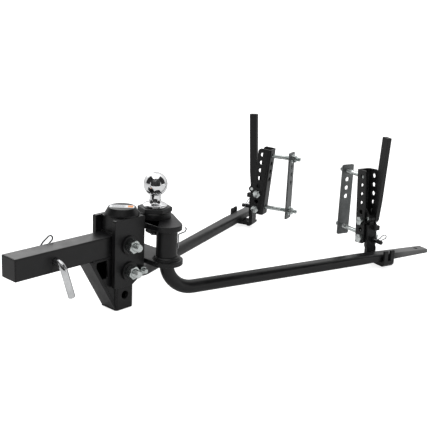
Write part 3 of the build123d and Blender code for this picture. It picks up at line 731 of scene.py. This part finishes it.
def cross_bolt(y, z):
    """A bolt through both flanges, head in front, nut behind."""
    span = CHANNEL_REAR - CHANNEL_FRONT
    shapes = hex_bolt(
        CROSS_BOLT_FLATS, SMALL_BOLT_HEAD, SMALL_BOLT_RADIUS, span + CROSS_BOLT_PAST, 22, SMALL_PITCH
    )
    nut = hex_prism(CROSS_BOLT_FLATS, 0, SMALL_NUT_THICK, SMALL_BOLT_RADIUS)
    shapes.append(placed(nut, aim((0, 0, span), (0, 0, 1), 20)))
    place = aim((CHANNEL_FRONT, y, z), (1, 0, 0), 8)
    return [placed(shape, place) for shape in shapes]


def frame_bolt(length):
    """A round-headed bolt along Z."""
    dome = [(0, -6.5), (3.5, -6.3), (6.5, -5.5), (9.2, -3.9), (11, -1.8), (DOME_RADIUS, 0), (0, 0)]
    return [lathe(dome, STEM_STEPS)] + stem(SMALL_BOLT_RADIUS, 0, length, 52, SMALL_PITCH)


def frame_nut():
    """A nut on its washer, along Z."""
    bore = SMALL_BOLT_RADIUS + 0.35
    rim = WASHER_RADIUS - 0.4
    washer = lathe([
        (bore, 0), (rim, 0), (WASHER_RADIUS, 0.4), (WASHER_RADIUS, WASHER_THICK - 0.4),
        (rim, WASHER_THICK), (bore, WASHER_THICK), (bore, 0),
    ], STEM_STEPS)
    return [washer, hex_prism(SMALL_NUT_FLATS, WASHER_THICK, WASHER_THICK + SMALL_NUT_THICK, bore)]


def make_side_fasteners(side):
    place = side_frame(side)
    stand_for(side + "_pivot_bolt", cross_bolt(*PIVOT), place)
    stand_for(side + "_stop_bolt", cross_bolt(*FLANGE_HOLE), place)
    bolts, nuts = [], []
    for z in FRAME_BOLT_HEIGHTS:
        seat = WEB_INNER - (z - FLANGE_HOLE[1]) * math.tan(math.radians(CHANNEL_LEAN)) + 1.3
        inwards = aim((PLATE_X, seat, z), (0, -1, 0))
        bolts += [placed(shape, inwards) for shape in frame_bolt(seat - FRAME_BOLT_END)]
        seated = aim((PLATE_X, PLATE_BACK, z), (0, -1, 0), 12)
        nuts += [placed(shape, seated) for shape in frame_nut()]
    stand_for(side + "_frame_bolts", bolts, place)
    stand_for(side + "_frame_nuts", nuts, place)
    tilt = Matrix.Translation(KEEPER) @ Matrix.Rotation(math.radians(-KEEPER_TILT), 4, "Y")
    clip = swept(hairpin_path(KEEPER_RADIUS, KEEPER_WIRE, KEEPER_CLIP_LENGTH), KEEPER_WIRE, 1.2)
    stand_for(side + "_keeper_clip", [clip], place @ tilt, 60)


# How far each CAD piece's sharp edges are broken, in mm.
BROKEN_EDGES = {
    "shank_bar": 1.2, "drop_tube": 1.0, "gusset_side_plates": 0.7, "gusset_front_plate": 0.9,
    "left_cheek": 1.0, "right_cheek": 1.0, "top_cap": 1.0, "cap_label": 0.0,
    "ball_platform": 1.0, "lower_plate": 1.0,
    "head_back_plate": 0.6, "head_upper_plate": 0.6, "trunnion_tubes": 0.5, "trunnion_collars": 0.6,
    "trunnion_bushings": 0.4, "head_bolt_discs": 1.0, "ball_base_ring": 0.8,
    "ball_hex_ring": 0.8, "ball_lock_washer": 0.6,
}
SIDE_BROKEN_EDGES = {
    "spring_bar": 0.0, "lift_hook": 0.9, "keeper_pin": 0.8, "lever_bar": 0.9, "lever_side_plate": 0.6,
    "link_pin": 0.5, "bracket_channel": 0.6, "clamp_plate": 0.7,
}


# ---- camera and studio ---------------------------------------------------------------------------
FLOOR_WHITE = 0.5
FLOOR_GLOW = 0.8
# Height of the direction and the sky's light from there.
SKY_BANDS = ((0.0, 0.55), (0.2, 0.7), (0.5, 0.8), (0.75, 1.1), (1.0, 1.3))
WORLD_SEEN = 1.1
# Name, offset from the hitch's middle, size and power.
LIGHTS = (
    ("key", (-1.6, -1.2, 2.2), 1.6, 34),
    ("fill", (1.2, -2.2, 0.9), 1.8, 9),
    ("rim", (0.6, 2.2, 1.6), 1.6, 20),
)
FLOOR_MIDDLE = 0.5
FLOOR_SIZE = 12
FLOOR_DROP = 0.002
CARD_BLACK = (0.004, 0.004, 0.004, 1)
SIDE_CARD = (1.3, 1.2, 1.5)                  # distance, width and height
FRONT_CARD = (1.4, 3.0, 3.4)


def add_camera():
    az, el, roll = (math.radians(v) for v in (CAMERA_AZIMUTH, CAMERA_ELEVATION, CAMERA_ROLL))
    back = Vector((math.sin(az) * math.cos(el), -math.cos(az) * math.cos(el), math.sin(el)))
    right = (-back).cross(Vector((0, 0, 1))).normalized()
    up = right.cross(-back)
    turned_right = right * math.cos(roll) + up * math.sin(roll)
    turned_up = up * math.cos(roll) - right * math.sin(roll)
    basis = Matrix((turned_right, turned_up, back)).transposed().to_4x4()
    data = bpy.data.cameras.new("camera")
    data.lens = CAMERA_LENS
    data.clip_start = 0.05
    data.clip_end = 50
    camera = bpy.data.objects.new("camera", data)
    camera.matrix_world = Matrix.Translation(CAMERA_PLACE) @ basis
    bpy.context.scene.collection.objects.link(camera)
    bpy.context.scene.camera = camera


def add_area(name, place, target, size, power):
    data = bpy.data.lights.new(name, "AREA")
    data.energy = power
    data.size = size
    lamp = bpy.data.objects.new(name, data)
    lamp.location = place
    lamp.rotation_mode = "QUATERNION"
    lamp.rotation_quaternion = (Vector(target) - Vector(place)).to_track_quat("-Z", "Y")
    bpy.context.scene.collection.objects.link(lamp)


def add_sheet(name, centre, facing, wide, high, material):
    """A flat studio sheet that belongs to the stage, not to the hitch."""
    mesh = bpy.data.meshes.new(name)
    x, y = wide / 2, high / 2
    mesh.from_pydata([(-x, -y, 0), (x, -y, 0), (x, y, 0), (-x, y, 0)], [], [(0, 1, 2, 3)])
    mesh.materials.append(material)
    sheet = bpy.data.objects.new(name, mesh)
    swing = Vector(facing).to_track_quat("Z", "Y").to_matrix().to_4x4()
    sheet.matrix_world = Matrix.Translation(centre) @ swing
    bpy.context.scene.collection.objects.link(sheet)
    return sheet


def floor_material():
    """A white floor, brighter to the eye than its light alone would make it, with soft shadows."""
    material = bpy.data.materials.new("floor")
    material.use_nodes = True
    tree = material.node_tree
    shader = tree.nodes["Principled BSDF"]
    shader.inputs["Base Color"].default_value = (FLOOR_WHITE, FLOOR_WHITE, FLOOR_WHITE, 1)
    shader.inputs["Roughness"].default_value = 0.9
    seen = add_node(tree, "ShaderNodeLightPath").outputs["Is Camera Ray"]
    glow = add_node(tree, "ShaderNodeMath", operation="MULTIPLY")
    glow.inputs[1].default_value = FLOOR_GLOW
    tree.links.new(seen, glow.inputs[0])
    shader.inputs["Emission Color"].default_value = (1, 1, 1, 1)
    tree.links.new(glow.outputs[0], shader.inputs["Emission Strength"])
    return material


def add_world():
    world = bpy.data.worlds.new("studio")
    world.use_nodes = True
    tree = world.node_tree
    direction = add_node(tree, "ShaderNodeTexCoord").outputs["Generated"]
    parts = add_node(tree, "ShaderNodeSeparateXYZ")
    tree.links.new(direction, parts.inputs["Vector"])
    bands = add_node(tree, "ShaderNodeFloatCurve")
    curve = bands.mapping.curves[0]
    bands.mapping.use_clip = False
    for height, light in SKY_BANDS[1:-1]:
        curve.points.new(height, light)
    curve.points[0].location = SKY_BANDS[0]
    curve.points[-1].location = SKY_BANDS[-1]
    bands.mapping.update()
    tree.links.new(parts.outputs["Z"], bands.inputs["Value"])
    seen = add_node(tree, "ShaderNodeLightPath").outputs["Is Camera Ray"]
    strength = add_node(tree, "ShaderNodeMix", data_type="FLOAT")
    tree.links.new(seen, strength.inputs[0])
    tree.links.new(bands.outputs["Value"], strength.inputs[2])
    strength.inputs[3].default_value = WORLD_SEEN
    tree.nodes["Background"].inputs["Color"].default_value = (1, 1, 1, 1)
    tree.links.new(strength.outputs[0], tree.nodes["Background"].inputs["Strength"])
    bpy.context.scene.world = world


def add_cards():
    """Dark cards that only reflections see, for the ball's contrast."""
    card = bpy.data.materials.new("card")
    card.use_nodes = True
    card.node_tree.nodes["Principled BSDF"].inputs["Base Color"].default_value = CARD_BLACK
    ball = Vector((BALL_X, 0, BALL_Z)) * MM
    view = (Vector(CAMERA_PLACE) - ball).normalized()
    right = Vector((0, 0, 1)).cross(view).normalized()
    above = view * 0.2 + Vector((0, 0, 0.6))
    for name, direction, (distance, wide, high) in (
        ("card_camera", view, FRONT_CARD),
        ("card_left", above - right, SIDE_CARD),
        ("card_right", above + right, SIDE_CARD),
    ):
        centre = ball + direction.normalized() * distance
        sheet = add_sheet(name, centre, ball - centre, wide, high, card)
        sheet.visible_camera = False
        sheet.visible_diffuse = False
        sheet.visible_shadow = False


def add_studio():
    add_world()
    bpy.context.scene.view_settings.view_transform = "Standard"
    middle = (cad_low + cad_high) / 2
    for name, offset, size, power in LIGHTS:
        add_area(name, middle + Vector(offset), middle, size, power)
    floor_place = (FLOOR_MIDDLE, 0, cad_low.z - FLOOR_DROP)
    add_sheet("floor", floor_place, (0, 0, 1), FLOOR_SIZE, FLOOR_SIZE, floor_material())
    add_cards()


make_ball()
make_head_fasteners()
make_welds()
make_label_print()
make_pin_and_clip()
make_bar_clips()
for node, width in BROKEN_EDGES.items():
    refine(node, width)
for side in ("left", "right"):
    make_side_fasteners(side)
    for node, width in SIDE_BROKEN_EDGES.items():
        refine(side + "_" + node, width)
add_camera()
add_studio()
